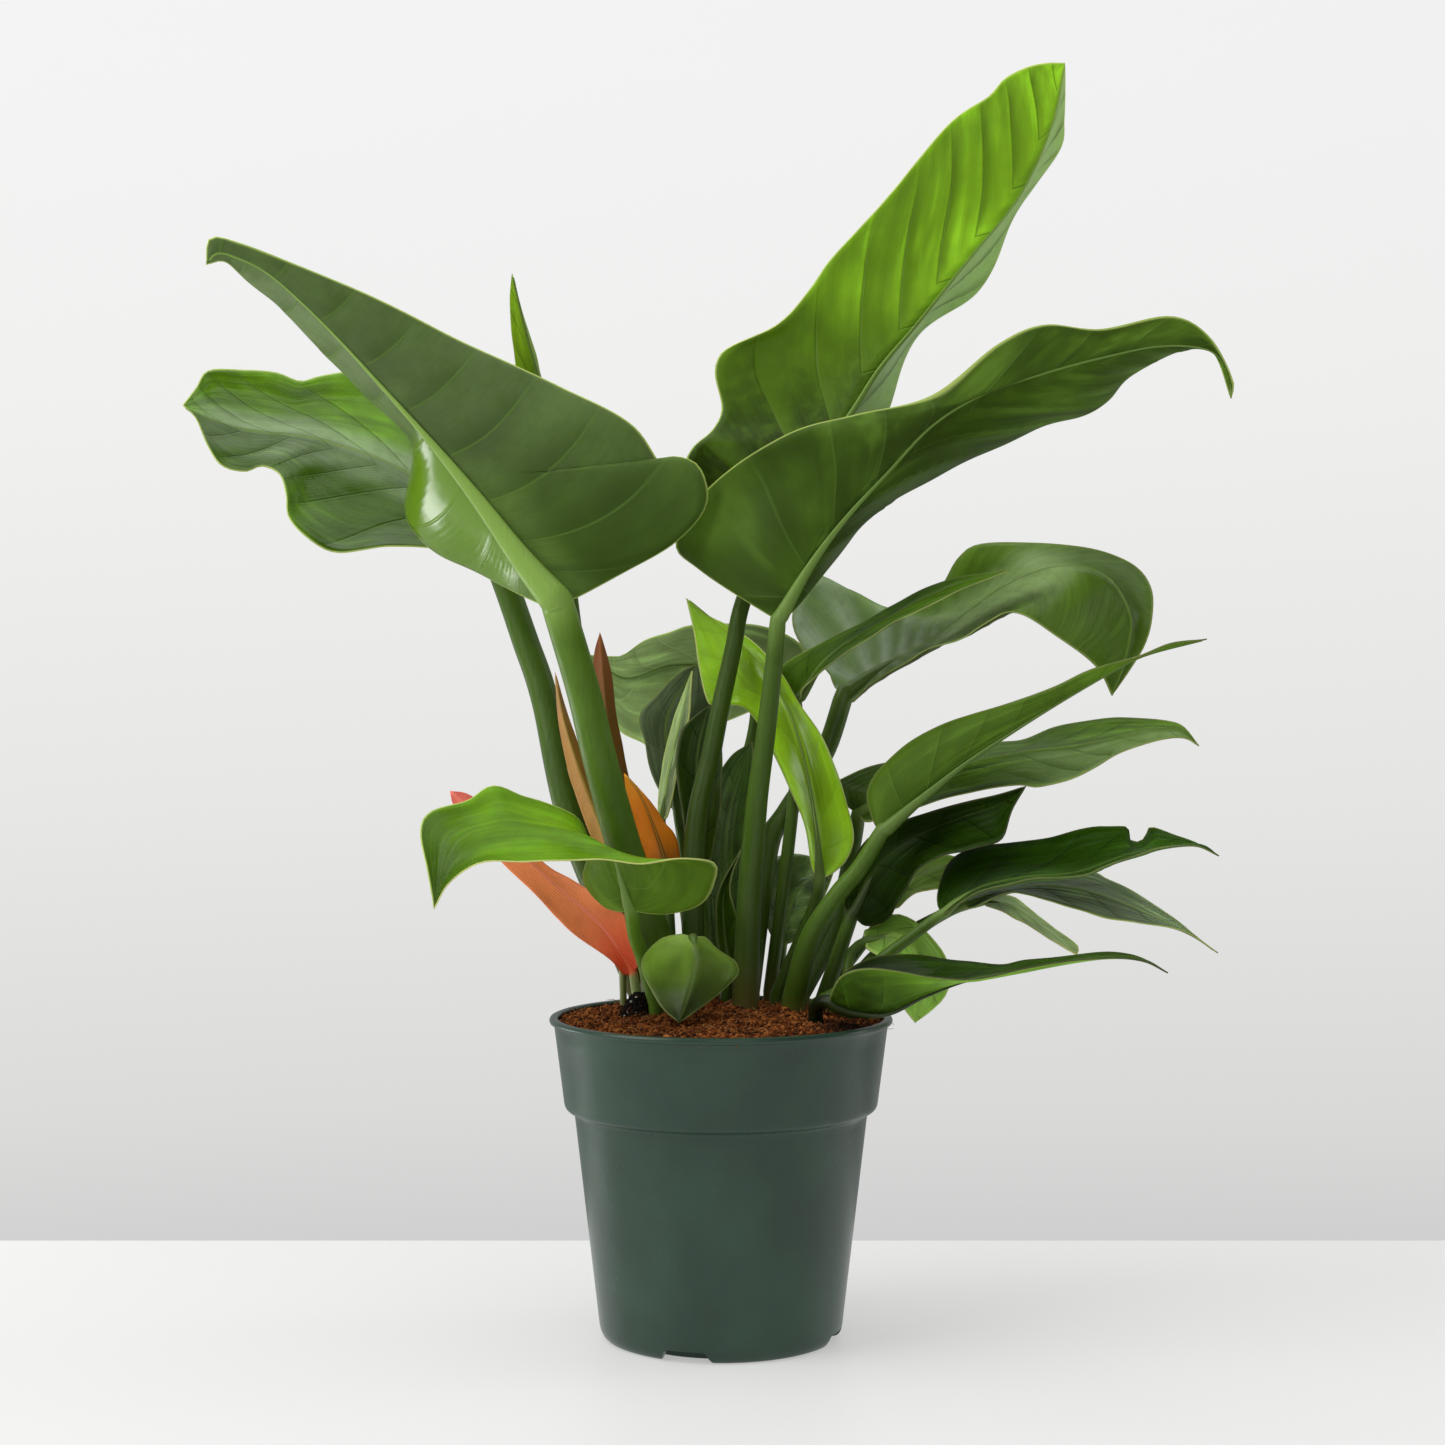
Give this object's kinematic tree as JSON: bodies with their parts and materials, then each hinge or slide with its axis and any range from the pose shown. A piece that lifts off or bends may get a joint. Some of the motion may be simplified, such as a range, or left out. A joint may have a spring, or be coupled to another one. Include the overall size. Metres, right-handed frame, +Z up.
{
  "type": "potted foliage plant",
  "caption": "Foliage plant with long glossy green leaves on upright stalks, coloured dry sheaths at its base, in a tapered green plastic nursery pot filled with soil.",
  "frame": {"origin": "middle of the pot's underside, on the ground", "axes": "+Z up along the pot's axis, -Y towards the viewer of the plant's front, +X to the right in that view"},
  "size_m": [0.4745, 0.1966, 0.5773],
  "materials": {
    "pot_plastic": "satin dark green",
    "soil": "rough moist coco fibre and peat",
    "mid_green_leaf": "satin leaf",
    "deep_green_leaf": "glossy dark leaf",
    "bright_green_leaf": "satin bright leaf",
    "young_green_leaf": "satin young leaf",
    "red_sheath": "matte",
    "orange_sheath": "matte",
    "brown_sheath": "matte dry",
    "tan_sheath": "matte dry"
  },
  "bodies": {
    "root": {"nursery_pot": "pot_plastic", "soil": "soil", "tall_left_leaf": "mid_green_leaf", "rear_left_leaf": "deep_green_leaf", "furled_left_leaf": "mid_green_leaf", "low_left_leaf": "mid_green_leaf", "small_front_leaf": "mid_green_leaf", "tall_right_leaf": "bright_green_leaf", "broad_right_leaf": "mid_green_leaf", "young_centre_leaf": "young_green_leaf", "arching_right_leaf": "deep_green_leaf", "narrow_right_leaf": "mid_green_leaf", "long_right_leaf": "mid_green_leaf", "middle_right_leaf": "bright_green_leaf", "shaded_right_leaf": "deep_green_leaf", "notched_right_leaf": "bright_green_leaf", "lower_right_leaf": "mid_green_leaf", "slim_right_leaf": "mid_green_leaf", "rim_right_leaf": "mid_green_leaf", "hanging_right_leaf": "deep_green_leaf", "small_right_leaf": "deep_green_leaf", "low_centre_leaf": "deep_green_leaf", "wavy_centre_leaf": "mid_green_leaf", "rear_centre_leaf": "deep_green_leaf", "dark_centre_leaf": "deep_green_leaf", "folded_centre_leaf": "mid_green_leaf", "upright_centre_leaf": "deep_green_leaf", "inner_centre_leaf": "deep_green_leaf", "red_sheath": "red_sheath", "orange_sheath": "orange_sheath", "brown_sheath": "brown_sheath", "tan_sheath": "tan_sheath"}
  },
  "joints": []
}
